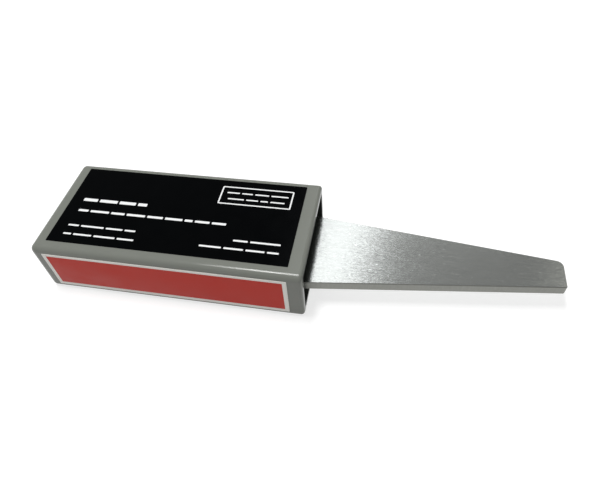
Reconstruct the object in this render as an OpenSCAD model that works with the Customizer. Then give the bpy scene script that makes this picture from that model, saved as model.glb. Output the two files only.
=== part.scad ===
// Degaussing wand: a closed box of strong magnets carried on a flat tapered blade.
// The box lies on its underside, the blade points along +X and the red panel faces -Y.
// The origin is on the underside, at the middle of the wand's outline. Sizes are in millimetres.

/* [Magnets] */
// Length of one magnet block, along the wand
magnet_l = 25.4; // [18:0.1:32]
// Width of one magnet block, across the wand
magnet_w = 19.05; // [17:0.05:26]
// Height of one magnet block
magnet_h = 12.7; // [10:0.1:18]
// Clearance around each magnet in its pocket
pocket_gap = 0.05; // [0.02:0.01:0.3]

/* [Cassette] */
// Wall of the cassette frame along its two long sides
frame_side = 1.0; // [0.6:0.1:3]
// Wall of the cassette frame at its two ends
frame_end = 2.0; // [1:0.1:5]
// Web between neighbouring magnets of one row
frame_web = 1.0; // [0.6:0.1:4]
// Rib between the two rows, which takes the yoke screws
frame_rib = 4.3; // [3.8:0.1:9]
// Thickness of the slip liner under the cassette
liner_t = 0.5; // [0.2:0.1:2]
// Thickness of the steel yoke plate over the magnets
yoke_t = 5.0; // [3:0.1:8]
// Thickness of the foam pad between the yoke plate and the roof
pad_t = 1.2; // [0.5:0.1:3]
// Thickness of the foam pad at the closed end
end_pad_t = 2.0; // [0.5:0.1:6]

/* [Housing] */
// Wall of the housing
wall = 3.0; // [2.6:0.1:4]
// Radius of the housing's long edges and of those round its closed end
edge_r = 2.5; // [1.5:0.1:2.5]
// Radius of the edges round the open end
rim_r = 1.4; // [0.5:0.1:1.4]
// Radius of the cavity's long corners
inner_r = 1.0; // [0.4:0.1:1.8]
// Clearance at each side of what slides into the cavity
fit_gap = 0.1; // [0.05:0.05:0.4]
// Depth of the clamp's face inside the open end
recess_d = 4.5; // [2:0.1:10]

/* [Blade] */
// Thickness of the blade
blade_t = 4.25; // [3:0.05:6]
// Length of the blade outside the housing
blade_reach = 97.5; // [60:0.5:140]
// Width of the blade where it leaves the housing
blade_root_w = 35.4; // [28:0.1:37]
// Width of the blade at its tip
blade_tip_w = 12.5; // [8:0.1:24]
// Radius of the tip's corner at the back
tip_r_back = 2.8; // [0.5:0.1:3.5]
// Radius of the tip's corner at the front
tip_r_front = 0.8; // [0.5:0.1:3.5]
// Width of the bevel that breaks the blade's edges
edge_break = 0.3; // [0.1:0.05:0.4]

/* [Clamp] */
// Length of the two clamp blocks, along the wand
clamp_l = 18.7; // [17.8:0.1:30]
// Thickness of the lower clamp under the blade
clamp_floor = 5.7; // [5:0.1:7]
// Clearance at each side of the blade's tang
tang_gap = 0.05; // [0.02:0.01:0.2]
// Room left behind the end of the tang
tang_end_gap = 0.5; // [0.2:0.1:2]

/* [Screws and pins] */
// Thread diameter of the socket screws through both clamps
clamp_screw_d = 4.0; // [3:0.5:4]
// Head diameter of the clamp screws
clamp_head_d = 7.0; // [5.5:0.1:7]
// Head height of the clamp screws
clamp_head_h = 4.0; // [3:0.1:4]
// Key size of the clamp screws, across flats
clamp_key = 3.0; // [2.5:0.5:3]
// Distance of the clamp screws from the clamp's faces
clamp_screw_inset = 5.0; // [4.6:0.1:5.4]
// Distance of the clamp screws from the tang's edges
clamp_screw_edge = 6.0; // [4.5:0.1:7]
// Diameter of the two pins that hold the tang in line
pin_d = 3.0; // [2:0.5:4]
// Depth of each pin in each clamp
pin_embed = 4.0; // [2:0.1:4.5]
// Thread diameter of the countersunk screws in the underside
case_screw_d = 3.0; // [2.5:0.5:3]
// Head diameter of the underside screws
case_head_d = 6.0; // [5:0.1:6.5]
// Key size of the underside screws, across flats
case_key = 2.0; // [1.5:0.5:2]
// Distance between the two underside screws
case_screw_span = 10.0; // [8:0.5:12]
// Thread diameter of the countersunk screws in the yoke plate
yoke_screw_d = 2.5; // [2:0.5:2.5]
// Head diameter of the yoke screws
yoke_head_d = 5.0; // [4:0.1:5.5]
// Key size of the yoke screws, across flats
yoke_key = 1.5; // [1:0.5:1.5]
// Depth of the yoke screws in the cassette's rib
yoke_screw_grip = 7.0; // [4:0.5:8]
// Radial clearance round screws and pins
screw_gap = 0.05; // [0.02:0.01:0.15]
// Free hole past the end of a screw or pin
tip_gap = 0.3; // [0.1:0.1:0.6]
// Metal left past a blind hole
hole_cover = 0.6; // [0.3:0.1:0.8]
// Depth of the countersunk heads below their surface
head_sink = 0.1; // [0.05:0.05:0.4]

/* [Labels] */
// Thickness of both labels
label_t = 0.2; // [0.1:0.05:0.5]
// Radius of the labels' corners
label_r = 0.3; // [0.1:0.1:2]
// Top label: bare flat left at the closed end
top_margin_end = 3.0; // [0:0.1:15]
// Top label: bare flat left at the open end
top_margin_rim = 4.5; // [0:0.1:15]
// Top label: bare flat left at the front
top_margin_front = 2.4; // [0:0.1:10]
// Top label: bare flat left at the back
top_margin_back = 0.8; // [0:0.1:10]
// Red panel: bare flat left at the closed end
side_margin_end = 2.4; // [0:0.1:15]
// Red panel: bare flat left at the open end
side_margin_rim = 4.4; // [0:0.1:15]
// Red panel: bare flat left below
side_margin_low = 0.4; // [0:0.1:5]
// Red panel: bare flat left above
side_margin_high = 0.2; // [0:0.1:5]

/* [Hidden] */
$fn = 48;

// Magnets in each row, and the two rows: north at the back (+1), south at the front (-1)
row_count = 3;
NORTH = 1;
SOUTH = -1;

// Margin by which a cutting shape passes the face that it cuts
cut = 1;

// Inner stack: pockets, cassette and cavity
pocket_l = magnet_l + 2 * pocket_gap;
pocket_w = magnet_w + 2 * pocket_gap;
pocket_pitch = pocket_l + frame_web;
cassette_l = row_count * pocket_l + (row_count - 1) * frame_web + 2 * frame_end;
cassette_w = 2 * pocket_w + frame_rib + 2 * frame_side;
cavity_l = end_pad_t + cassette_l + clamp_l + recess_d;
cavity_w = cassette_w + 2 * fit_gap;
cavity_h = liner_t + magnet_h + yoke_t + pad_t;

// Outside of the housing
body_l = cavity_l + wall;
body_w = cavity_w + 2 * wall;
body_h = cavity_h + 2 * wall;
total_l = body_l + blade_reach;

// Places along the wand
x_end = -total_l / 2;
x_cavity = x_end + wall;
x_cassette = x_cavity + end_pad_t;
x_clamp = x_cassette + cassette_l;
x_face = x_clamp + clamp_l;
x_rim = x_end + body_l;
x_tip = x_rim + blade_reach;

// Heights above the underside
z_floor = wall;
z_cassette = z_floor + liner_t;
z_yoke = z_cassette + magnet_h;
z_pad = z_yoke + yoke_t;
z_roof = z_floor + cavity_h;
z_blade = z_floor + clamp_floor;
z_blade_top = z_blade + blade_t;
z_clamp_top = z_roof - fit_gap;

// The blade widens evenly from its tip to the clamp's face, and the tang keeps that width
blade_slope = (blade_root_w - blade_tip_w) / blade_reach;
tang_w = blade_root_w + blade_slope * recess_d;
x_tang = x_clamp + tang_end_gap;

// Lean of each tapered side, and the turn from that side to the square end of the tip
side_lean = atan(blade_slope / 2);
tip_turn = 90 - side_lean;

// Straight steps in each round of the tip
round_steps = 8;

// Clamp screws and pins
clamp_screw_x = [x_clamp + clamp_screw_inset, x_face - clamp_screw_inset];
clamp_screw_y = tang_w / 2 - clamp_screw_edge;
z_clamp_seat = z_clamp_top - clamp_head_h - tip_gap;
z_clamp_tip = z_floor + hole_cover + tip_gap;
clamp_screw_l = z_clamp_seat - z_clamp_tip;
z_pin = z_blade - pin_embed;
pin_l = blade_t + 2 * pin_embed;

// Underside screws
case_screw_x = x_clamp + clamp_l / 2;
case_screw_l = z_blade - head_sink - hole_cover - tip_gap;

// Yoke screws stand over the middle of each magnet's length
yoke_screw_x = [for (i = [0 : row_count - 1]) x_cassette + frame_end + pocket_l / 2 + i * pocket_pitch];
yoke_screw_l = yoke_t - head_sink + yoke_screw_grip;

// Share of the head's height that a screw's key socket takes up
socket_share = 0.6;

// Block from x = 0, centred on Y and standing on z = 0, with its four long edges rounded
module rounded_bar(l, w, h, r) {
  translate([0, -w / 2 + r, 0])
    cube([l, w - 2 * r, h]);
  translate([0, -w / 2, r])
    cube([l, w, h - 2 * r]);
  for (side = [-1, 1], z = [r, h - r])
    translate([0, side * (w / 2 - r), z])
      rotate([0, 90, 0])
        cylinder(h = l, r = r);
}

// Block like rounded_bar with the edges and corners at x = 0 rounded too, by the same radius r
module blind_bar(l, w, h, r) {
  translate([r, 0, 0])
    rounded_bar(l - r, w, h, r);
  translate([0, -w / 2 + r, r])
    cube([r, w - 2 * r, h - 2 * r]);
  for (side = [-1, 1])
    translate([r, side * (w / 2 - r), r])
      cylinder(h = h - 2 * r, r = r);
  for (z = [r, h - r])
    translate([r, -w / 2 + r, z])
      rotate([-90, 0, 0])
        cylinder(h = w - 2 * r, r = r);
  for (side = [-1, 1], z = [r, h - r])
    translate([r, side * (w / 2 - r), z])
      sphere(r = r);
}

// Half section of a disc of radius r and height end_r, with its upper edge rounded by end_r
module round_edged_half(r, end_r) {
  square([r - end_r, end_r]);
  translate([r - end_r, 0])
    intersection() {
      circle(r = end_r);
      square(end_r);
    }
}

// The same block with the edges and corners of its far end rounded by end_r, which is less than r
module rounded_block(l, w, h, r, end_r) {
  blind_bar(l - end_r, w, h, r);
  translate([l - end_r, 0, end_r])
    rounded_bar(end_r, w - 2 * end_r, h - 2 * end_r, r - end_r);
  for (z = [end_r, h - end_r])
    translate([l - end_r, -w / 2 + r, z])
      rotate([-90, 0, 0])
        cylinder(h = w - 2 * r, r = end_r);
  for (side = [-1, 1])
    translate([l - end_r, side * (w / 2 - end_r), r])
      cylinder(h = h - 2 * r, r = end_r);
  // Each corner: the angle at which its quarter turn starts, its side and its height
  for (corner = [[0, 1, r], [90, 1, h - r], [180, -1, h - r], [270, -1, r]])
    translate([l - end_r, corner[1] * (w / 2 - r), corner[2]])
      rotate([0, 90, 0])
        rotate_extrude(angle = 90, start = corner[0])
          round_edged_half(r, end_r);
}

// Keeps what slides into the cavity clear of its side walls and long corners
module slide_fit() {
  intersection() {
    children();
    translate([x_cavity, 0, z_floor])
      rounded_bar(cavity_l, cavity_w - 2 * fit_gap, cavity_h, inner_r);
  }
}

// Block between two heights, as wide as the cavity, from x for length l
module cavity_slab(x, l, z_low, z_high) {
  translate([x, -cavity_w / 2, z_low])
    cube([l, cavity_w, z_high - z_low]);
}

// Flat rectangle with rounded corners, centred on the origin, lying on z = 0
module label_plate(l, w) {
  linear_extrude(label_t) {
    square([l - 2 * label_r, w], center = true);
    square([l, w - 2 * label_r], center = true);
    for (x = [-1, 1], y = [-1, 1])
      translate([x * (l / 2 - label_r), y * (w / 2 - label_r)])
        circle(r = label_r);
  }
}

// Socket-head screw with its seat on z = 0, its head above and its thread below
module socket_screw(d, head_d, head_h, l, key) {
  difference() {
    union() {
      cylinder(h = head_h, d = head_d);
      translate([0, 0, -l])
        cylinder(h = l, d = d);
    }
    translate([0, 0, head_h * (1 - socket_share)])
      key_socket(key, head_h);
  }
}

// Countersunk screw with the top of its head on z = 0 and its thread below
module countersunk_screw(d, head_d, l, key) {
  head_h = (head_d - d) / 2;
  difference() {
    union() {
      translate([0, 0, -head_h])
        cylinder(h = head_h, d1 = d, d2 = head_d);
      translate([0, 0, -l])
        cylinder(h = l - head_h, d = d);
    }
    translate([0, 0, -head_h * socket_share])
      key_socket(key, head_h);
  }
}

// Six-sided socket for a key, open upwards from z = 0
module key_socket(key, depth) {
  cylinder(h = depth + cut, d = key / cos(30), $fn = 6);
}

// Hole for a countersunk screw, with its mouth on z = 0, sunk and blind past the screw's end
module countersunk_hole(d, head_d, l) {
  head_h = (head_d - d) / 2;
  hole_d = d + 2 * screw_gap;
  mouth_d = head_d + 2 * screw_gap;
  translate([0, 0, -head_sink])
    cylinder(h = head_sink + cut, d = mouth_d);
  translate([0, 0, -head_sink - head_h])
    cylinder(h = head_h, d1 = hole_d, d2 = mouth_d);
  translate([0, 0, -head_sink - l - tip_gap])
    cylinder(h = l + tip_gap, d = hole_d);
}

// Places of the four clamp screws, at the height of their head seats
module at_clamp_screws() {
  for (x = clamp_screw_x, side = [-1, 1])
    translate([x, side * clamp_screw_y, z_clamp_seat])
      children();
}

// Holes for the clamp screws, with the room for their heads open upwards
module clamp_screw_holes() {
  at_clamp_screws() {
    translate([0, 0, -clamp_screw_l - tip_gap])
      cylinder(h = clamp_screw_l + tip_gap + cut, d = clamp_screw_d + 2 * screw_gap);
    cylinder(h = clamp_head_h + tip_gap + cut, d = clamp_head_d + 2 * screw_gap);
  }
}

// Places of the two pins on the middle line, at the height of their lower ends
module at_pins() {
  for (x = clamp_screw_x)
    translate([x, 0, z_pin])
      children();
}

// Blind holes for the pins, with a little room above their upper ends
module pin_holes() {
  at_pins()
    cylinder(h = pin_l + tip_gap, d = pin_d + 2 * screw_gap);
}

// Places of the two underside screws, turned so that their heads face down
module at_case_screws(sink) {
  for (side = [-1, 1])
    translate([case_screw_x, side * case_screw_span / 2, sink])
      rotate([180, 0, 0])
        children();
}

module case_screw_holes() {
  at_case_screws(0)
    countersunk_hole(case_screw_d, case_head_d, case_screw_l);
}

// Places of the yoke screws, with their heads facing up
module at_yoke_screws(sink) {
  for (x = yoke_screw_x)
    translate([x, 0, z_pad - sink])
      children();
}

module yoke_screw_holes() {
  at_yoke_screws(0)
    countersunk_hole(yoke_screw_d, yoke_head_d, yoke_screw_l);
}

// Corner of a magnet or of its pocket, in one row and at one place in it
module at_magnet(row, place, gap) {
  translate([
    x_cassette + frame_end + pocket_gap + (place - 1) * pocket_pitch - gap,
    row * (frame_rib / 2 + pocket_w / 2) - magnet_w / 2 - gap,
    z_cassette
  ])
    children();
}

module magnet(row, place) {
  at_magnet(row, place, 0)
    cube([magnet_l, magnet_w, magnet_h]);
}

// Closed box with one open end, rounded outside, with two screw holes in its floor
module housing() {
  color("#7d8079")
    difference() {
      translate([x_end, 0, 0])
        rounded_block(body_l, body_w, body_h, edge_r, rim_r);
      translate([x_cavity, 0, z_floor])
        rounded_bar(cavity_l + cut, cavity_w, cavity_h, inner_r);
      case_screw_holes();
    }
}

module end_pad() {
  color("#2b2c2e")
    slide_fit()
      cavity_slab(x_cavity, end_pad_t, z_floor, z_roof);
}

// Flat film on the level part of the cavity's floor
module floor_liner() {
  color("#d8d6cc")
    translate([x_cassette, -cavity_w / 2 + inner_r, z_floor])
      cube([cassette_l, cavity_w - 2 * inner_r, liner_t]);
}

// Frame with one through pocket for each magnet and a rib down the middle
module cassette_frame() {
  color("#b9bcbf")
    difference() {
      slide_fit()
        cavity_slab(x_cassette, cassette_l, z_cassette, z_yoke);
      for (row = [SOUTH, NORTH], place = [1 : row_count])
        at_magnet(row, place, pocket_gap)
          translate([0, 0, -cut])
            cube([pocket_l, pocket_w, magnet_h + 2 * cut]);
      yoke_screw_holes();
    }
}

module magnet_north(place) {
  color("#a9adb2")
    magnet(NORTH, place);
}

module magnet_south(place) {
  color("#9a9ea4")
    magnet(SOUTH, place);
}

// Steel plate that lies on both rows and closes the field over their backs
module yoke_plate() {
  color("#6f7378")
    difference() {
      slide_fit()
        cavity_slab(x_cassette, cassette_l, z_yoke, z_pad);
      yoke_screw_holes();
    }
}

module yoke_screws() {
  color("#34363a")
    at_yoke_screws(head_sink)
      countersunk_screw(yoke_screw_d, yoke_head_d, yoke_screw_l, yoke_key);
}

// Foam sheet between the yoke plate and the level part of the roof
module yoke_pad() {
  color("#2b2c2e")
    translate([x_cassette, -cavity_w / 2 + inner_r, z_pad])
      cube([cassette_l, cavity_w - 2 * inner_r, pad_t]);
}

// Block on the cavity's floor with a channel along it for the tang
module tang_clamp_lower() {
  channel_w = tang_w + 2 * tang_gap;
  color("#1d1e20")
    difference() {
      slide_fit()
        cavity_slab(x_clamp, clamp_l, z_floor, z_blade_top);
      translate([x_clamp - cut, -channel_w / 2, z_blade])
        cube([clamp_l + 2 * cut, channel_w, blade_t + cut]);
      clamp_screw_holes();
      pin_holes();
      case_screw_holes();
    }
}

// Block that presses the tang into the lower clamp's channel
module tang_clamp_upper() {
  color("#1d1e20")
    difference() {
      slide_fit()
        cavity_slab(x_clamp, clamp_l, z_blade_top, z_clamp_top);
      clamp_screw_holes();
      pin_holes();
    }
}

// One side of the blade from above, moved inwards by inset: parallel tang, straight taper and tip round
function blade_side(tip_r, inset) =
  let (centre = [x_tip - tip_r, blade_tip_w / 2 - tip_r * tan(tip_turn / 2)])
  concat(
    [
      [x_tang + inset, tang_w / 2 - inset],
      [x_face - inset * tan(side_lean / 2), tang_w / 2 - inset]
    ],
    [
      for (i = [0 : round_steps])
        let (a = tip_turn * (1 - i / round_steps))
        centre + (tip_r - inset) * [cos(a), sin(a)]
    ]
  );

// Outline of the blade from above, moved inwards by inset
module blade_outline(inset) {
  back = blade_side(tip_r_back, inset);
  front = blade_side(tip_r_front, inset);
  polygon(concat(back, [for (i = [len(front) - 1 : -1 : 0]) [front[i].x, -front[i].y]]));
}

// Flat bar with the blade's outline and a bevel along every edge
module bevelled_bar() {
  translate([0, 0, z_blade])
    hull() {
      linear_extrude(blade_t)
        blade_outline(edge_break);
      translate([0, 0, edge_break])
        linear_extrude(blade_t - 2 * edge_break)
          blade_outline(0);
    }
}

module blade() {
  color("#c3c6c6")
    difference() {
      bevelled_bar();
      clamp_screw_holes();
      pin_holes();
    }
}

module clamp_screws() {
  color("#34363a")
    at_clamp_screws()
      socket_screw(clamp_screw_d, clamp_head_d, clamp_head_h, clamp_screw_l, clamp_key);
}

module tang_pins() {
  color("#8d9196")
    at_pins()
      cylinder(h = pin_l, d = pin_d);
}

module case_screws() {
  color("#34363a")
    at_case_screws(head_sink)
      countersunk_screw(case_screw_d, case_head_d, case_screw_l, case_key);
}

// Black plate on the level part of the top
module top_label() {
  low = [x_end + edge_r + top_margin_end, -body_w / 2 + edge_r + top_margin_front];
  high = [x_rim - rim_r - top_margin_rim, body_w / 2 - edge_r - top_margin_back];
  middle = (low + high) / 2;
  color("#0b0d0f")
    translate([middle.x, middle.y, body_h])
      label_plate(high.x - low.x, high.y - low.y);
}

// Red plate on the level part of the front
module side_label() {
  low = [x_end + edge_r + side_margin_end, edge_r + side_margin_low];
  high = [x_rim - rim_r - side_margin_rim, body_h - edge_r - side_margin_high];
  middle = (low + high) / 2;
  color("#a53a33")
    translate([middle.x, -body_w / 2, middle.y])
      rotate([90, 0, 0])
        label_plate(high.x - low.x, high.y - low.y);
}

housing();
end_pad();
floor_liner();
cassette_frame();
magnet_north(1);  // magnet_north_1
magnet_north(2);  // magnet_north_2
magnet_north(3);  // magnet_north_3
magnet_south(1);  // magnet_south_1
magnet_south(2);  // magnet_south_2
magnet_south(3);  // magnet_south_3
yoke_plate();
yoke_screws();
yoke_pad();
tang_clamp_lower();
tang_clamp_upper();
blade();
clamp_screws();
tang_pins();
case_screws();
top_label();
side_label();
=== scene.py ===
# %% [markdown]
# # A degaussing wand in a small photo studio
#
# The wand is a closed box of strong magnets with a flat brushed bar for a handle. The box is painted grey
# and carries two films: a black one on its top and a red one with a white border on its front. The solids
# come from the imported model, and this lesson adds what they lack: finishes, prints, fuller foam, light and
# a camera.

import bpy
import numpy as np
from mathutils import Matrix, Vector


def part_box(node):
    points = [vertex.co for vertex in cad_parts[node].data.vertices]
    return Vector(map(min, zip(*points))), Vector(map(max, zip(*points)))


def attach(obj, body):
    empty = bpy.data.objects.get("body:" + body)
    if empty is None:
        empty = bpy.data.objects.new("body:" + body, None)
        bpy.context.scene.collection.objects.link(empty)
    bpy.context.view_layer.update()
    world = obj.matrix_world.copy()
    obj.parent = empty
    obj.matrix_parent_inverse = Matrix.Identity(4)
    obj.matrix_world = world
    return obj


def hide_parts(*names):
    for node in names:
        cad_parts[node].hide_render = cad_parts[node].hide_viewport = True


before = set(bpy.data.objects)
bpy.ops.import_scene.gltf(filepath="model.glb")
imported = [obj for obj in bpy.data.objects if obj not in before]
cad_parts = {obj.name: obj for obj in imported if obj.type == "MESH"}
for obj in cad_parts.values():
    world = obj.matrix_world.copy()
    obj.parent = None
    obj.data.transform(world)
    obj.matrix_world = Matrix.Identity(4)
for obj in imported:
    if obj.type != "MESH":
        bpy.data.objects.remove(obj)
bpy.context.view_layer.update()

MM = 0.001

# %% [markdown]
# ## Camera
#
# A camera can be placed by eye, or worked out from the straight edges in a picture. Here the edges of the
# box, the films and the blade were matched to the solids, which gave the place, the tilt and the focal
# length. The place is written the way a photographer would say it: what the lens aims at, how far away it
# stands, how far round, how high, and how much the camera leans.

# %% Camera
# The picture's width and the focal length in pixels, and the sensor's width in a lens's own millimetres
IMAGE_WIDTH = 600
FOCAL_PIXELS = 518.3
SENSOR_WIDTH = 36.0
NEAREST_SEEN = 10 * MM
CAMERA_AIM = np.array([0.2, 3.4, 13.0]) * MM
CAMERA_DISTANCE = 216.5 * MM
CAMERA_AZIMUTH = np.radians(14.25)
CAMERA_ELEVATION = np.radians(49.54)
CAMERA_LEAN = np.radians(5.06)
UPWARDS = np.array([0.0, 0.0, 1.0])


def leaned(right, up, lean):
    """Right and up axes turned about the line of sight, so that up leans to the right: each is the cosine
    times itself, with the sine times the other taken off the right and added to the up."""
    return np.cos(lean) * right - np.sin(lean) * up, np.cos(lean) * up + np.sin(lean) * right


def looking_axes(azimuth, elevation, lean):
    """Right, up and backward axes of a lens that stands round to the right by azimuth, looks down by
    elevation, and leans about its own axis. Forward is the cosine of the elevation times the level way,
    less its sine times upwards."""
    right = np.array([np.cos(azimuth), np.sin(azimuth), 0.0])
    level = np.array([-np.sin(azimuth), np.cos(azimuth), 0.0])
    forward = np.cos(elevation) * level - np.sin(elevation) * UPWARDS
    return *leaned(right, np.cross(right, forward), lean), -forward


def place_matrix(right, up, back, place):
    """A 4 by 4 matrix whose columns are three axes and a place."""
    matrix = np.eye(4)
    matrix[:3, :3] = np.column_stack([right, up, back])
    matrix[:3, 3] = place
    return Matrix(matrix.tolist())


camera_axes = looking_axes(CAMERA_AZIMUTH, CAMERA_ELEVATION, CAMERA_LEAN)
camera_data = bpy.data.cameras.new("studio_camera")
camera_data.sensor_width = SENSOR_WIDTH
camera_data.lens = FOCAL_PIXELS / IMAGE_WIDTH * SENSOR_WIDTH
camera_data.clip_start = NEAREST_SEEN
camera = bpy.data.objects.new("studio_camera", camera_data)
camera.matrix_world = place_matrix(*camera_axes, CAMERA_AIM + CAMERA_DISTANCE * camera_axes[2])
bpy.context.scene.collection.objects.link(camera)
bpy.context.scene.camera = camera
bpy.context.scene.view_settings.view_transform = "Standard"
print("Camera at", np.round(np.array(camera.matrix_world.translation) / MM, 1).tolist(),
      "mm with a lens of", round(camera_data.lens, 2), "mm")

# %% [markdown]
# ## Colour and nodes
#
# Colours are easiest to pick as the hex numbers of a paint chart, but a renderer adds up light, so it wants
# linear values. A finish is a small tree of nodes. It could be clicked together by hand; written out, one
# helper is enough, which adds a node, sets its properties, and fills or links its sockets.

# %% Colours and nodes


def linear(hex_colour):
    """Linear RGBA of an sRGB hex colour: below 0.04045 a straight line, above it a power of 2.4."""
    srgb = np.array([int(hex_colour[i:i + 2], 16) for i in (1, 3, 5)]) / 255
    value = np.where(srgb <= 0.04045, srgb / 12.92, ((srgb + 0.055) / 1.055) ** 2.4)
    return (*value.tolist(), 1.0)


def add(tree, kind, sockets=None, **settings):
    """Add one node and return its outputs. Settings are its properties. Each named socket is linked, where
    it is given another node's output, or else filled with a value."""
    made = tree.nodes.new(kind)
    for name, value in settings.items():
        setattr(made, name, value)
    for name, value in (sockets or {}).items():
        if isinstance(value, bpy.types.NodeSocket):
            tree.links.new(value, made.inputs[name])
        else:
            made.inputs[name].default_value = value
    return made.outputs


def new_finish(name):
    """An empty node material, its tree, and the piece's own coordinates in metres."""
    material = bpy.data.materials.new(name)
    material.use_nodes = True
    tree = material.node_tree
    tree.nodes.clear()
    return material, tree, add(tree, "ShaderNodeTexCoord")["Object"]


def per_mm(size):
    """Texture scale of marks whose size is given in millimetres, once or for each axis: repeats a metre,
    one over the size in metres."""
    return (1 / (np.array(size) * MM)).tolist()


print("Linear mid grey:", np.round(linear("#808080"), 3).tolist())

# %% [markdown]
# ## Clouds and coats
#
# Hardly any real surface has one even tone: its colour and its gloss drift a little together, and a fine
# relief breaks up what it mirrors. A painted picture could hold all that, but a noise pattern needs no file
# and has no seams. Most finishes here share these two steps, so each step is a helper: a tone that follows a
# noise, and a coat that joins tone, roughness and relief in one shader.

# %% Clouds and coats
# How many finer layers of noise a pattern holds: few in grain, more in clouds and in tool marks
GRAIN_DETAIL = 1.0
CLOUD_DETAIL = 2.0
MARK_DETAIL = 3.0
# Noise seldom leaves this middle range, so a spread of values starts and ends here
NOISE_RANGE = {"From Min": 0.3, "From Max": 0.7}
# A pattern that a Mapping node has already brought to its real size
AS_MAPPED = 1.0
# Share of a fine relief's depth that shows
RELIEF = 0.2


def mottled(tree, place, scale, tones, detail=CLOUD_DETAIL):
    """A noise pattern, and a tone that follows it: the second tone times the noise, plus the first tone
    times one less the noise."""
    pattern = add(tree, "ShaderNodeTexNoise", {"Vector": place, "Scale": scale, "Detail": detail})["Fac"]
    tone = add(tree, "ShaderNodeMix", {
        "Factor": pattern, "A": linear(tones[0]), "B": linear(tones[1])}, data_type="RGBA")["Result"]
    return pattern, tone


def coat(tree, tone, pattern, roughness, gloss, bump, metallic=0.0):
    """Close a finish with one shader. Its roughness runs with the pattern from the first value to the
    second, and the sockets of its bump say how the relief bends the normal."""
    rough = add(tree, "ShaderNodeMapRange", {
        "Value": pattern, **NOISE_RANGE, "To Min": roughness[0], "To Max": roughness[1]})["Result"]
    bumped = add(tree, "ShaderNodeBump", bump)["Normal"]
    shader = add(tree, "ShaderNodeBsdfPrincipled", {
        "Base Color": tone, "Metallic": metallic, "Roughness": rough, "Specular IOR Level": gloss,
        "Normal": bumped})["BSDF"]
    add(tree, "ShaderNodeOutputMaterial", {"Surface": shader})


print("Noise is spread from", NOISE_RANGE["From Min"], "to", NOISE_RANGE["From Max"])

# %% [markdown]
# ## Studio
#
# A product picture like this one is lit softly from all round. One box of light hangs overhead, draws the
# thin highlight along the front edge and keeps the shadow close under the wand. One stands behind, and the
# root of the brushed blade mirrors it, so its edge is where the blade turns from white to grey. A weak one
# further back lifts the blade's far side, and a weak one on the right lifts its tip. Point lamps would leave
# hard spots on the metal, so all are area lamps: their size and place decide what each face mirrors.

# %% Softboxes
LAMP_AIM = np.array([0.0, 0.0, 0.013])
BACKWARDS = np.array([0.0, 1.0, 0.0])
# Each softbox: its place and its size in metres, its turn in degrees, its power in watts and its tint
SOFTBOXES = {
    "overhead_softbox": ((-0.18, 0.08, 0.85), (0.18, 0.36), 0, 5.2, "#ffffff"),
    "behind_softbox": ((-0.063, 0.69, 0.79), (0.14, 0.44), 10, 0.44, "#fafbff"),
    "far_softbox": ((0.18, 0.86, 0.76), (0.36, 0.2), 0, 0.1, "#ffffff"),
    "tip_softbox": ((0.7, 0.62, 0.75), (0.4, 0.5), -35, 0.4, "#fffdf4"),
}


def softbox(name, place, size, turn, watts, tint):
    """A rectangular lamp at a place that looks at the wand. Its right is square to that line and to the way
    back, the cross product of the two, and it is then turned about the line, its top towards its right."""
    lamp = bpy.data.lights.new(name, "AREA")
    lamp.shape = "RECTANGLE"
    lamp.size, lamp.size_y = size
    lamp.energy = watts
    lamp.color = linear(tint)[:3]
    box = bpy.data.objects.new(name, lamp)
    back = np.array(place) - LAMP_AIM
    back /= np.linalg.norm(back)
    right = np.cross(BACKWARDS, back)
    right /= np.linalg.norm(right)
    turned = leaned(right, np.cross(back, right), np.radians(turn))
    box.matrix_world = place_matrix(*turned, back, place)
    bpy.context.scene.collection.objects.link(box)


for name, settings in SOFTBOXES.items():
    softbox(name, *settings)
print("Softboxes:", ", ".join(SOFTBOXES))

# %% [markdown]
# The rest of the room is a dome: pale near the horizon, where white walls meet the floor, and dimmer above,
# so that black film stays black. The wall behind the camera is paler than the others, which lights the red
# panel. A picture of a real studio could light the scene too, but three smooth steps are enough, two in the
# height of the view and one towards the front, and they need no file.

# %% Dome
HORIZON_GLOW = 0.8
WALL_GLOW = 0.38
ZENITH_GLOW = 0.335
# Heights of the view, as sines of its elevation, between which the glow changes
HORIZON_BAND = (0.04, 0.16)
WALL_BAND = (0.16, 0.6)
# Glow added towards the front, and how far forward the view points where it starts and is full
FRONT_GLOW = 0.28
FRONT_BAND = (0.2, 0.8)

world = bpy.data.worlds.new("studio_dome")
world.use_nodes = True
dome = world.node_tree
dome.nodes.clear()
view = add(dome, "ShaderNodeTexCoord")["Generated"]
view_along = add(dome, "ShaderNodeSeparateXYZ", {"Vector": view})
glow = HORIZON_GLOW
for band, glow_above in ((HORIZON_BAND, WALL_GLOW), (WALL_BAND, ZENITH_GLOW)):
    glow = add(dome, "ShaderNodeMapRange", {
        "Value": view_along["Z"], "From Min": band[0], "From Max": band[1],
        "To Min": glow, "To Max": glow_above}, interpolation_type="SMOOTHSTEP")["Result"]
front = add(dome, "ShaderNodeMapRange", {
    "Value": view_along["Y"], "From Min": -FRONT_BAND[0], "From Max": -FRONT_BAND[1],
    "To Min": 0.0, "To Max": FRONT_GLOW}, interpolation_type="SMOOTHSTEP")["Result"]
total = add(dome, "ShaderNodeMath", {0: glow, 1: front}, operation="ADD")[0]
sky = add(dome, "ShaderNodeBackground", {"Strength": total})["Background"]
add(dome, "ShaderNodeOutputWorld", {"Surface": sky})
bpy.context.scene.world = world
print("Dome from", HORIZON_GLOW, "at the horizon to", ZENITH_GLOW, "overhead")

# %% [markdown]
# The floor is a sheet of white paper. Lit well enough to look white, it would throw too much light back at
# the wand, so the paper itself is a pale grey, and a glow that only the eye and mirrors see makes it white.
# The wand's shadow stays, because the glow leaves the paper's own shading as it is.

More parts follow.
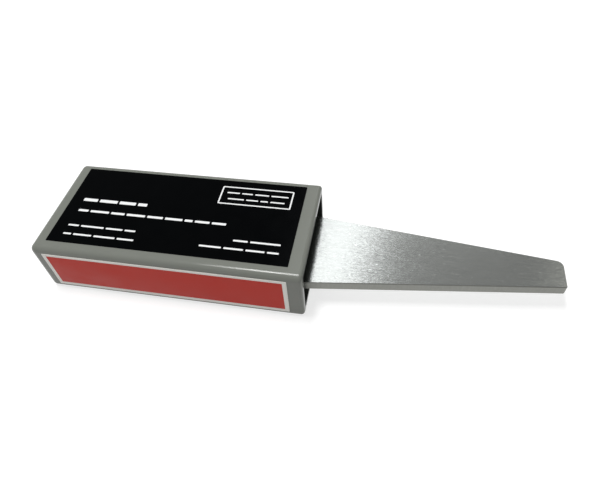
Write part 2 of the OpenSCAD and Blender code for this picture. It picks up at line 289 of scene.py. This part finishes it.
# %% Paper floor
FLOOR_REACH = 6.0
FLOOR_GLOW = 0.68
PAPER_TONES = ("#bababa", "#bdbdbd")
PAPER_CLOUD_MM = 3.0

# Paper: matt and even, with faint clouds of fibre
paper, tree, place = new_finish("white_paper")
_, tone = mottled(tree, place, per_mm(PAPER_CLOUD_MM), PAPER_TONES)
matt = add(tree, "ShaderNodeBsdfDiffuse", {"Color": tone})["BSDF"]
path = add(tree, "ShaderNodeLightPath")
seen = path["Is Camera Ray"]
for mirrored in ("Is Glossy Ray", "Is Transmission Ray"):
    seen = add(tree, "ShaderNodeMath", {0: seen, 1: path[mirrored]}, operation="MAXIMUM")[0]
lift = add(tree, "ShaderNodeMath", {0: seen, 1: FLOOR_GLOW}, operation="MULTIPLY")[0]
shine = add(tree, "ShaderNodeEmission", {"Strength": lift})["Emission"]
both = add(tree, "ShaderNodeAddShader", {0: matt, 1: shine})[0]
add(tree, "ShaderNodeOutputMaterial", {"Surface": both})

corners = np.array([[-1, -1, 0], [1, -1, 0], [1, 1, 0], [-1, 1, 0]]) * FLOOR_REACH
floor_mesh = bpy.data.meshes.new("paper_floor")
floor_mesh.from_pydata(corners.tolist(), [], [[0, 1, 2, 3]])
floor_mesh.materials.append(paper)
floor = bpy.data.objects.new("paper_floor", floor_mesh)
bpy.context.scene.collection.objects.link(floor)
print("Paper floor of", 2 * FLOOR_REACH, "m")

# %% [markdown]
# ## Grey paint
#
# The box is aluminium with a stoved enamel outside. Such paint has a slight orange peel about a millimetre
# across, a narrow highlight, and hardly any change of colour. The peel could be modelled as waves in the
# mesh, but it is so shallow that it only shows in the highlight, so a bump in the finish does it. What lies
# within the cavity takes a dark tone, painted shade for the recess. The cavity is a box that runs from the
# foam at the closed end to the open end, and its sides are a hair's breadth outside the clamps that slide
# into it.

# %% Grey stoved enamel
PAINT_TONES = ("#7a7d76", "#7d8079")
# Dark tone inside the cavity: painted shade for the recess
CAVITY_SHADE = "#383b38"
PAINT_CLOUD_MM = 14.0
PAINT_ROUGHNESS = (0.15, 0.19)
PAINT_GLOSS = 0.28
PEEL_MM = 1.1
PEEL_DEPTH = 0.01 * MM
CLAMP_CLEARANCE = 0.2 * MM
cavity_low = np.array([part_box("end_pad")[0][0], *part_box("tang_clamp_lower")[0][1:]]) - CLAMP_CLEARANCE
cavity_high = np.array([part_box("housing")[1][0], *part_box("tang_clamp_upper")[1][1:]]) + CLAMP_CLEARANCE
cavity_middle = ((cavity_low + cavity_high) / 2).tolist()
cavity_half = ((cavity_high - cavity_low) / 2).tolist()

# Stoved enamel: even colour, a low gloss with a narrow highlight, and slight orange peel in it
enamel, tree, place = new_finish("grey_stoved_enamel")
cloud, tone = mottled(tree, place, per_mm(PAINT_CLOUD_MM), PAINT_TONES)
peel = add(tree, "ShaderNodeTexNoise", {
    "Vector": place, "Scale": per_mm(PEEL_MM), "Detail": GRAIN_DETAIL})["Fac"]
# A spot is inside where, on every axis, it is nearer the cavity's middle than half the cavity's size
offset = add(tree, "ShaderNodeVectorMath", {0: place, 1: cavity_middle}, operation="SUBTRACT")["Vector"]
reach = add(tree, "ShaderNodeVectorMath", {0: offset}, operation="ABSOLUTE")["Vector"]
beyond = add(tree, "ShaderNodeVectorMath", {0: reach, 1: cavity_half}, operation="SUBTRACT")["Vector"]
beyond_along = add(tree, "ShaderNodeSeparateXYZ", {"Vector": beyond})
furthest = beyond_along["X"]
for axis in ("Y", "Z"):
    furthest = add(tree, "ShaderNodeMath", {0: furthest, 1: beyond_along[axis]}, operation="MAXIMUM")[0]
inside = add(tree, "ShaderNodeMath", {0: furthest, 1: 0.0}, operation="LESS_THAN")[0]
# Inside the cavity the enamel's tone gives way to the painted shade
tone = add(tree, "ShaderNodeMix", {
    "Factor": inside, "A": tone, "B": linear(CAVITY_SHADE)}, data_type="RGBA")["Result"]
coat(tree, tone, cloud, PAINT_ROUGHNESS, PAINT_GLOSS,
     {"Height": peel, "Strength": RELIEF, "Distance": PEEL_DEPTH})
# The range that the cavity's painted shade covers
print("Primer within", np.round(cavity_low / MM, 1).tolist(), "to", np.round(cavity_high / MM, 1).tolist())

# %% [markdown]
# ## Black film and red film
#
# Both films are printed polyester under a clear overlay. The black one's overlay mirrors so little that it
# shows only a faint sheen. The red panel is a white film with a red field printed on it, so the white border
# is the bare film. Flat colour would do from afar, but up close the ink is slightly cloudy and the overlay
# has a fine pebble. The real pebble is about a fifth of a millimetre, drawn coarser here so that it shows.

# %% Printed polyester films
INK_CLOUD_MM = 6.0
PEBBLE_MM = 0.35
PEBBLE_DEPTH = 0.01 * MM


def printed_film(name, tones, roughness, gloss):
    """Printed polyester: slight clouds in the ink, a roughness that follows them, and a fine pebble."""
    material, tree, place = new_finish(name)
    cloud, tone = mottled(tree, place, per_mm(INK_CLOUD_MM), tones)
    pebble = add(tree, "ShaderNodeTexNoise", {
        "Vector": place, "Scale": per_mm(PEBBLE_MM), "Detail": GRAIN_DETAIL})["Fac"]
    coat(tree, tone, cloud, roughness, gloss,
         {"Height": pebble, "Strength": RELIEF, "Distance": PEBBLE_DEPTH})
    return material


# Black overlay: deep black, smooth, with nearly no gloss
black_film = printed_film(
    "black_satin_polyester", tones=("#030405", "#050607"), roughness=(0.14, 0.18), gloss=0.035)
# White film: a warm white with a satin sheen and no mirror image in it
white_film = printed_film(
    "white_satin_polyester", tones=("#f2f0ea", "#f8f6f0"), roughness=(0.38, 0.5), gloss=0.3)
# Red ink: a solid brick red, nearly matt
red_ink = printed_film(
    "red_screen_ink", tones=("#c23a30", "#c73e34"), roughness=(0.42, 0.52), gloss=0.2)
# White ink: a cooler white than the film, with a soft sheen
white_ink = printed_film(
    "white_screen_ink", tones=("#eceeee", "#f4f5f5"), roughness=(0.4, 0.52), gloss=0.4)
print("Films:", [film.name for film in (black_film, white_film, red_ink, white_ink)])

# %% [markdown]
# ## Brushed blade
#
# The blade is bare aluminium bar, rubbed along its length with a coarse abrasive. Its faces are a mass of
# tiny facets that blur what they mirror, more across the rubbing than along it. Each tilts a little its own
# way, so at the edge of a mirrored lamp some catch it and some miss it. That is the sparkle where the white
# root fades to grey. The facets are the cells of a Voronoi pattern. Real ones are about a tenth of a
# millimetre wide, drawn nearly three times as wide here so that they show, and a few are painted paler as
# painted glints. Over them run faint long scratches, drawn coarse for the same reason. The narrow edges are
# sawn and only broken with a file, so they are duller, and their tone is darkened as painted shade.

# %% Brushed aluminium
FACET_MM = (0.8, 0.28, 0.28)
SCRATCH_MM = (14.0, 0.5, 0.5)
SCRATCH_TONES = ("#b9bcb9", "#c1c4c0")
# Facets whose chance, from 0 to 1, lies in this range turn paler as painted glints, fully so at its end
PAINTED_GLINT_TONE = "#d9dcd9"
PAINTED_GLINT_CHANCE = (0.98, 1.0)
BLADE_ROUGHNESS = (0.206, 0.246)

# Brushed aluminium: white where it mirrors a lamp and grey elsewhere, streaked along the rubbing
brushed, tree, place = new_finish("brushed_aluminium")
stretched = add(tree, "ShaderNodeMapping", {"Vector": place, "Scale": per_mm(FACET_MM)})["Vector"]
facet = add(tree, "ShaderNodeTexVoronoi", {"Vector": stretched, "Scale": AS_MAPPED})["Color"]
chance = add(tree, "ShaderNodeSeparateColor", {"Color": facet})["Blue"]
drawn = add(tree, "ShaderNodeMapping", {"Vector": place, "Scale": per_mm(SCRATCH_MM)})["Vector"]
scratch, tone = mottled(tree, drawn, AS_MAPPED, SCRATCH_TONES)
# A few facets turn paler: painted glints
pale = add(tree, "ShaderNodeMapRange", {
    "Value": chance, "From Min": PAINTED_GLINT_CHANCE[0], "From Max": PAINTED_GLINT_CHANCE[1]})["Result"]
tone = add(tree, "ShaderNodeMix", {
    "Factor": pale, "A": tone, "B": linear(PAINTED_GLINT_TONE)}, data_type="RGBA")["Result"]
rough = add(tree, "ShaderNodeMapRange", {
    "Value": scratch, **NOISE_RANGE, "To Min": BLADE_ROUGHNESS[0], "To Max": BLADE_ROUGHNESS[1]})["Result"]
print("Facets of", FACET_MM, "mm")

# %% [markdown]
# Whether a spot is on a broad face or on a sawn edge shows in its normal: broad faces look straight up or
# down. That is steadier than a mask by place, because it follows the solid when the blade's outline changes.
# The tilt of each facet is added to the normal, so it bends every reflection, from any side.

# %% Sawn edges and facet tilt
# How upright a normal is where a broad face starts and where it is full
BROAD_FACE = (0.8, 0.95)
# Sawn edges: a duller roughness, and darker tones that are a painted shade
SAWN_SHADED_TONES = ("#80817c", "#90918c")
SAWN_ROUGHNESS = 0.46
SAWN_MM = (0.5, 0.5, 3.0)
# A facet's colour runs from 0 to 1 in each channel, so its middle is taken off before it tilts the normal
FACET_MIDDLE = (0.5, 0.5, 0.5)
# Slope along X, Y and Z between the two facets that lean most, one each way
FACET_TILT = (0.036, 0.03, 0.0)
# How far the blur across the rubbing outdoes the blur along it, from 0 to 1
BLADE_GRAIN = 0.5

normal = add(tree, "ShaderNodeNewGeometry")["Normal"]
upright = add(tree, "ShaderNodeSeparateXYZ", {"Vector": normal})["Z"]
level = add(tree, "ShaderNodeMath", {0: upright}, operation="ABSOLUTE")[0]
broad = add(tree, "ShaderNodeMapRange", {
    "Value": level, "From Min": BROAD_FACE[0], "From Max": BROAD_FACE[1]})["Result"]
upright_marks = add(tree, "ShaderNodeMapping", {"Vector": place, "Scale": per_mm(SAWN_MM)})["Vector"]
_, sawn_shaded_tone = mottled(tree, upright_marks, AS_MAPPED, SAWN_SHADED_TONES)
# Off the broad faces the tone turns to the edges' darker tones, a painted shade
tone = add(tree, "ShaderNodeMix", {"Factor": broad, "A": sawn_shaded_tone, "B": tone}, data_type="RGBA")["Result"]
rough = add(tree, "ShaderNodeMix", {"Factor": broad, "A": SAWN_ROUGHNESS, "B": rough})["Result"]
centred = add(tree, "ShaderNodeVectorMath", {0: facet, 1: FACET_MIDDLE}, operation="SUBTRACT")["Vector"]
tilted = add(tree, "ShaderNodeVectorMath", {
    0: centred, 1: FACET_TILT, 2: normal}, operation="MULTIPLY_ADD")["Vector"]
tilted = add(tree, "ShaderNodeVectorMath", {0: tilted}, operation="NORMALIZE")["Vector"]
across = add(tree, "ShaderNodeTangent", direction_type="RADIAL", axis="X")["Tangent"]
shader = add(tree, "ShaderNodeBsdfPrincipled", {
    "Base Color": tone, "Metallic": 1.0, "Roughness": rough, "Anisotropic": BLADE_GRAIN, "Tangent": across,
    "Normal": tilted})["BSDF"]
add(tree, "ShaderNodeOutputMaterial", {"Surface": shader})
print("Blade finish:", brushed.name)

# %% [markdown]
# ## Pieces inside the box
#
# Only the ends of the clamps show in the picture, deep in the open end, but each is a real piece with its
# own finish: nickel on the magnets, ground steel on the yoke, milled aluminium on the cassette, black
# anodising on the clamps and black oxide on the screws. They differ in tone, in gloss and in the marks of
# the tool that made them, so one function makes them all from two tones, a mark's size and a roughness. The
# finest marks are drawn coarser than real ones so that they show. The slip film under the cassette is
# polyester, like the labels.

# %% Inner finishes
MARK_DEPTH = 0.01 * MM


def worked_metal(name, tones, mark_mm, roughness, metallic=1.0, gloss=0.5):
    """A worked metal: tool marks of a given size show in its tone, its roughness and its relief."""
    material, tree, place = new_finish(name)
    stretched = add(tree, "ShaderNodeMapping", {"Vector": place, "Scale": per_mm(mark_mm)})["Vector"]
    marks, tone = mottled(tree, stretched, AS_MAPPED, tones, MARK_DETAIL)
    coat(tree, tone, marks, roughness, gloss,
         {"Height": marks, "Strength": RELIEF, "Distance": MARK_DEPTH}, metallic)
    return material


# Dyed oxide layer: black and matt with hardly any gloss, so it isn't shaded as a bare metal
black_anodised = worked_metal(
    "black_anodised_aluminium", tones=("#090a0b", "#0f1011"), mark_mm=(1.5, 0.4, 0.4),
    roughness=(0.5, 0.62), metallic=0.0, gloss=0.1)
# Milled faces: pale, with cutter lines across the wand
milled = worked_metal(
    "milled_aluminium", tones=("#a9abad", "#c2c4c6"), mark_mm=(0.5, 6.0, 0.5), roughness=(0.3, 0.42))
# Nickel plate: bright and a little warm, with wide soft ripples
nickel = worked_metal(
    "nickel_plate", tones=("#b9b4aa", "#c9c5bc"), mark_mm=(3.0, 3.0, 3.0), roughness=(0.16, 0.24))
# Ground steel: mid grey, with fine grinding lines along the wand
ground_steel = worked_metal(
    "ground_steel", tones=("#777a7d", "#8d9093"), mark_mm=(8.0, 0.3, 0.3), roughness=(0.3, 0.42))
# Black oxide: a dark skin on steel that keeps a dull metal sheen
black_oxide = worked_metal(
    "black_oxide_steel", tones=("#202124", "#2d2e31"), mark_mm=(0.6, 0.6, 0.6), roughness=(0.38, 0.5))
# Hardened pins: bright, with fine lines along the pin
hardened = worked_metal(
    "hardened_pin_steel", tones=("#9a9da1", "#b0b3b6"), mark_mm=(0.4, 0.4, 4.0), roughness=(0.2, 0.3))
# Slip film: pale, smooth and slightly glossy
liner_film = printed_film(
    "pale_polyester_liner", tones=("#d2d0c6", "#dcdad1"), roughness=(0.3, 0.4), gloss=0.5)
print("Inner finishes:", [finish.name for finish in (
    black_anodised, milled, nickel, ground_steel, black_oxide, hardened, liner_film)])

# %% [markdown]
# ## A finish for every solid
#
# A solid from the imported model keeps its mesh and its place, and takes its finish in its material slot.
# A table of solid and finish is easier to read than a line for each, and the six magnets share one. Only
# the two plain foam solids have no line, because fuller sheets stand for them below.

# %% Finishes on the solids
FINISH_OF_NODE = {
    "housing": enamel,
    "blade": brushed,
    "top_label": black_film,
    "side_label": white_film,
    "tang_clamp_lower": black_anodised,
    "tang_clamp_upper": black_anodised,
    "cassette_frame": milled,
    "yoke_plate": ground_steel,
    "floor_liner": liner_film,
    "yoke_screws": black_oxide,
    "clamp_screws": black_oxide,
    "case_screws": black_oxide,
    "tang_pins": hardened,
    **{name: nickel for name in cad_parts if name.startswith("magnet_")},
}
for name, finish in FINISH_OF_NODE.items():
    for material_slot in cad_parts[name].material_slots:
        material_slot.material = finish
print(len(FINISH_OF_NODE), "of", len(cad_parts), "solids have their finish")

# %% [markdown]
# ## Plates with soft edges
#
# Prints, panels and foam sheets are all flat rounded rectangles. A cube with a bevel would do for one, but
# here whole rows of plates are worked out at once, as one array. An outline is a smaller rectangle of corner
# centres plus a unit arrow at each step, so a ring at any distance is a centre plus distance times arrow. A
# plate is rings at the distances and heights of an edge profile, closed by two flat faces.

# %% Plate rings
CORNER_STEPS = 5
CORNER_SIGNS = [[1, 1], [-1, 1], [-1, -1], [1, -1]]


def corner_outline(half, radius):
    """Corner centres and outward arrows of N rounded rectangles, whose half sizes are N by 2. The arrows
    turn once round, a quarter turn at each corner. The centres are the half sizes less the radius, with
    each corner's signs."""
    quarter = np.linspace(0, np.pi / 2, CORNER_STEPS + 1)
    angle = (quarter + np.arange(4)[:, None] * np.pi / 2).ravel()
    arrows = np.column_stack([np.cos(angle), np.sin(angle)])
    signs = np.repeat(CORNER_SIGNS, CORNER_STEPS + 1, axis=0)
    centres = signs * (half - radius)[:, None, :]
    return centres, arrows


def ringed(centre, half, radius, profile):
    """N by rings by steps by 3 points: each plate's corner centres plus arrows times (radius + inset), at
    each height of the profile."""
    centres, arrows = corner_outline(half, radius)
    inset, height = np.array(profile).T
    flat = centres[:, None] + (radius + inset)[None, :, None, None] * arrows[None, None]
    flat = flat + centre[:, None, None, :]
    tall = np.broadcast_to(height[None, :, None, None], (*flat.shape[:3], 1))
    return np.concatenate([flat, tall], axis=3)


def soft_edge(thickness, softness, steps=3):
    """Profile of a plate as (inset, height): straight up, then a quarter round of the given softness."""
    turn = np.linspace(0, np.pi / 2, steps + 1)
    rounded = np.column_stack([np.cos(turn) - 1, np.sin(turn) - 1]) * softness + [0, thickness]
    return np.vstack([[0.0, 0.0], rounded])


print("A ring has", len(CORNER_SIGNS) * (CORNER_STEPS + 1), "points")

# %% [markdown]
# Rings become a mesh by numbering their points and joining each ring to the next with quads. The plates are
# laid out flat first, and then stood where they belong by swapping axes: on the top, on the front or
# against the closed end. Every piece rides on the wand.

# %% Plates as pieces
SMOOTH_UNDER = np.radians(40)


def ring_faces(points, closed):
    """Quads between neighbouring rings of every plate, and a flat face on the first and last ring, or, for
    a closed profile, quads from the last ring back to the first."""
    count, rings, steps, _ = points.shape
    ring = np.arange(rings if closed else rings - 1)[:, None]
    step = np.arange(steps)[None, :]
    row, next_row = ring * steps, (ring + 1) % rings * steps
    after = (step + 1) % steps
    quad = np.stack([row + step, row + after, next_row + after, next_row + step], -1)
    base = (np.arange(count) * rings * steps)[:, None, None]
    faces = (quad.reshape(1, -1, 4) + base).reshape(-1, 4).tolist()
    if not closed:
        bottom = np.arange(steps)[::-1] + base[:, 0]
        top = np.arange(steps) + (rings - 1) * steps + base[:, 0]
        faces += bottom.tolist() + top.tolist()
    return faces


def on_top(points, height):
    """Lay plates on a level face: across, deep and thick become X, Y and Z above the height."""
    return points + np.array([0, 0, height])


def on_front(points, face):
    """Stand plates on the front face: across, deep and thick become X, Z and -Y from the face."""
    return np.stack([points[..., 0], face - points[..., 2], points[..., 1]], -1)


def on_end(points, face):
    """Stand plates against the closed end: across, deep and thick become Y, Z and X from the face."""
    return np.stack([points[..., 2] + face, points[..., 0], points[..., 1]], -1)


def piece_from_rings(name, points, finish, closed=False):
    """A mesh piece from ringed plates, with its finish, riding on the wand."""
    mesh = bpy.data.meshes.new(name)
    mesh.from_pydata(points.reshape(-1, 3).tolist(), [], ring_faces(points, closed))
    mesh.polygons.foreach_set("use_smooth", np.ones(len(mesh.polygons), bool))
    mesh.set_sharp_from_angle(angle=SMOOTH_UNDER)
    mesh.materials.append(finish)
    piece = bpy.data.objects.new(name, mesh)
    bpy.context.scene.collection.objects.link(piece)
    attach(piece, "root")
    return piece


print("Edges under", round(np.degrees(SMOOTH_UNDER)), "degrees are shaded smooth")

# %% [markdown]
# ## Red field on the front panel
#
# The red is a solid block of ink on the white film, a little smaller than the film all round, so the film
# shows as a border. It could be a mask in the film's finish. Ink is only a few hundredths of a millimetre
# thick, but as a piece of its own it has a crisp edge from any side.

# %% Red field
INK = 0.03 * MM
INK_SOFT = 0.012 * MM
INK_CORNER = 0.1 * MM
# Border of bare film: at the closed end and below, then at the open end and above
BORDER_LOW = np.array([1.6, 1.6]) * MM
BORDER_HIGH = np.array([1.7, 1.2]) * MM
panel_low, panel_high = np.array(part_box("side_label"))
field_low = panel_low[[0, 2]] + BORDER_LOW
field_high = panel_high[[0, 2]] - BORDER_HIGH
field_points = ringed((field_low + field_high)[None] / 2, (field_high - field_low)[None] / 2, INK_CORNER,
                      soft_edge(INK, INK_SOFT))
red_field = piece_from_rings("panel_red_field", on_front(field_points, panel_low[1]), red_ink)
print(red_field.name, "is", np.round((field_high - field_low) / MM, 1).tolist(), "mm")

# %% [markdown]
# ## White outline on the black film
#
# A thin white rectangle sits in the corner of the black film next to the blade. Four bars would leave seams
# at its corners, so it is one ring: its profile runs up the outer edge, across the ink and down the inner
# edge, and closes on itself.

# %% White outline
OUTLINE_FROM_RIM = 4.75 * MM
OUTLINE_FROM_BACK = 3.6 * MM
OUTLINE_SIZE = np.array([31.0, 10.3]) * MM
OUTLINE_LINE = 0.6 * MM
OUTLINE_CORNER = 0.62 * MM
label_low, label_high = np.array(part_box("top_label"))
outline_middle = label_high[:2] - [OUTLINE_FROM_RIM, OUTLINE_FROM_BACK] - OUTLINE_SIZE / 2
outline_profile = [(0, 0), (0, INK), (-OUTLINE_LINE, INK), (-OUTLINE_LINE, 0)]
outline_points = ringed(outline_middle[None], OUTLINE_SIZE[None] / 2, OUTLINE_CORNER, outline_profile)
outline = piece_from_rings("label_white_outline", on_top(outline_points, label_high[2]), white_ink,
                           closed=True)
print(outline.name, "is centred on", np.round(outline_middle / MM, 2).tolist(), "mm")

# %% [markdown]
# ## Rows of bars on the black film
#
# The film carries rows of plain white bars in screen ink, with even gaps and uneven lengths. They could be
# drawn one by one, or painted by a mask in the film's finish. Here each row is filled by a rule, so a row of
# any length ends where it should, and the lengths come from a seeded generator, so they are the same on
# every run. The rows are placed from the film's corner, so they move with the film.

# %% Rows of bars
BAR_SEED = 7
# Gap between bars and range of their lengths, in millimetres, and more bars than any row holds
BAR_GAP = 1.0
BAR_LENGTHS = (2.5, 8.0)
BARS_AT_MOST = 40
BAR_CORNER = 0.25 * MM
# Each row, in millimetres from the film's front corner at the closed end: where it starts and ends along X,
# its middle along Y, and the bars' height
BAR_ROWS = (
    (5.6, 34.4, 23.7, 1.6),
    (6.1, 70.6, 17.5, 1.15),
    (5.6, 35.0, 9.1, 0.85),
    (5.6, 36.0, 4.5, 0.85),
    (75.6, 94.6, 9.8, 0.85),
    (62.9, 94.7, 5.6, 0.85),
    (66.2, 92.6, 35.4, 0.7),
    (67.3, 91.6, 31.9, 0.7),
)


def row_of_bars(start, end, random):
    """Starts and ends of bars of random length that fill a row from start to end with even gaps: as many
    as fit are kept, and their lengths are stretched to end where the row does."""
    lengths = random.uniform(*BAR_LENGTHS, BARS_AT_MOST)
    count = max(1, int(np.searchsorted(np.cumsum(lengths + BAR_GAP), end - start)))
    lengths = lengths[:count] * (end - start - BAR_GAP * (count - 1)) / lengths[:count].sum()
    starts = start + np.concatenate([[0], np.cumsum(lengths + BAR_GAP)[:-1]])
    return starts, starts + lengths


random = np.random.default_rng(BAR_SEED)
centres, halves = [], []
for start, end, middle, tall in BAR_ROWS:
    low, high = row_of_bars(start, end, random)
    centres.append(np.column_stack([(low + high) / 2, np.full(len(low), middle)]))
    halves.append(np.column_stack([(high - low) / 2, np.full(len(low), tall / 2)]))
bar_points = ringed(label_low[:2] + np.vstack(centres) * MM, np.vstack(halves) * MM, BAR_CORNER,
                    soft_edge(INK, INK_SOFT, steps=1))
bars = piece_from_rings("label_print_bars", on_top(bar_points, label_high[2]), white_ink)
print(bars.name, "has", len(bar_points), "bars in", len(BAR_ROWS), "rows")

# %% [markdown]
# ## Foam pads
#
# Two die-cut sheets of closed-cell foam stop the magnet cassette from rattling: one over the yoke, one at
# the closed end. A cloth simulation would be too much for a stiff sheet that is held flat. Foam that is
# squeezed between flat faces bulges a little at its free edges, so its edge profile is a shallow arc. Its
# skin shows cells about half a millimetre across.

# %% Closed-cell foam
FOAM_TONES = ("#232426", "#303134")
FOAM_CLOUD_MM = 4.0
FOAM_ROUGHNESS = (0.8, 0.92)
FOAM_GLOSS = 0.25
CELL_MM = 0.5
CELL_DEPTH = 0.15 * MM
CELL_RELIEF = 0.5

# Closed-cell foam: matt, dark and finely pitted
foam, tree, place = new_finish("closed_cell_foam")
cloud, tone = mottled(tree, place, per_mm(FOAM_CLOUD_MM), FOAM_TONES)
cells = add(tree, "ShaderNodeTexVoronoi", {"Vector": place, "Scale": per_mm(CELL_MM)})["Distance"]
coat(tree, tone, cloud, FOAM_ROUGHNESS, FOAM_GLOSS,
     {"Height": cells, "Strength": CELL_RELIEF, "Distance": CELL_DEPTH})
print("Foam cells of", CELL_MM, "mm")

# %% [markdown]
# Each sheet fills the box of the plain pad that it stands for. The sheet is worked out flat and then laid or
# stood the way the pad is thin.

# %% Foam sheets
FOAM_BULGE = 0.25 * MM
FOAM_CORNER = 1.0 * MM
FOAM_STEPS = 9
X_AXIS = 0
Z_AXIS = 2


def squeezed_edge(thickness):
    """Profile of a squeezed sheet as (inset, height): a parabola, furthest out at half the thickness and
    drawn in by the bulge at both faces."""
    rise = np.linspace(-1, 1, FOAM_STEPS)
    return np.column_stack([-FOAM_BULGE * rise ** 2, thickness * (rise + 1) / 2])


def foam_sheet(name, node, thin_axis, stand):
    """A squeezed sheet that fills a CAD pad's box, lying across its thin axis."""
    low, high = np.array(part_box(node))
    wide = [axis for axis in range(3) if axis != thin_axis]
    middle, half = ((low + high) / 2)[wide], ((high - low) / 2)[wide]
    points = ringed(middle[None], half[None], FOAM_CORNER, squeezed_edge(high[thin_axis] - low[thin_axis]))
    piece = piece_from_rings(name, stand(points, low[thin_axis]), foam)
    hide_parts(node)
    return piece


roof_sheet = foam_sheet("roof_foam_sheet", "yoke_pad", Z_AXIS, on_top)
end_sheet = foam_sheet("end_foam_sheet", "end_pad", X_AXIS, on_end)
print("Foam sheets:", roof_sheet.name, end_sheet.name)
